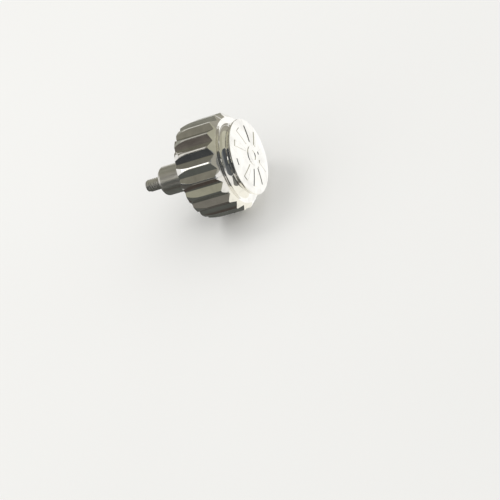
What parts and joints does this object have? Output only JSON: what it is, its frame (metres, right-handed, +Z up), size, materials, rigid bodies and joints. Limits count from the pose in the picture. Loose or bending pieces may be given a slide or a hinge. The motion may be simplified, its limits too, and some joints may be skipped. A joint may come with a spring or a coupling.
{
  "type": "watch crown",
  "caption": "Screw-down winding crown for a watch: fluted steel head with a domed cap, and a sprung post that slides into it and ends in a thin stud for the winding stem.",
  "frame": {"origin": "centre of the skirt's end face, on the crown's axis", "axes": "+X along the crown's axis from the skirt's end to the domed cap, +Z up with the crown lying on two of its flutes' lands"},
  "size_m": [0.0086, 0.007, 0.007],
  "materials": {
    "polished_steel": "mirror polished stainless steel",
    "turned_steel": "fine turned stainless steel",
    "spring_steel": "drawn stainless spring wire",
    "seal": "smooth black seal rubber"
  },
  "bodies": {
    "head": {"fluted_shell": "polished_steel", "threaded_core": "turned_steel", "drive_sleeve": "turned_steel", "retaining_ring": "turned_steel", "return_spring": "spring_steel", "spring_seat": "turned_steel", "tube_gasket": "seal", "gasket_washer": "turned_steel"},
    "post": {"stem_post": "polished_steel", "stem_stud": "turned_steel"}
  },
  "joints": [
    {"name": "post_slide", "type": "slide", "parent": "head", "child": "post", "axis": [1, 0, 0], "range_m": [0, 0.0012], "stiffness_N_per_m": 1120, "deforming": ["return_spring"]}
  ]
}
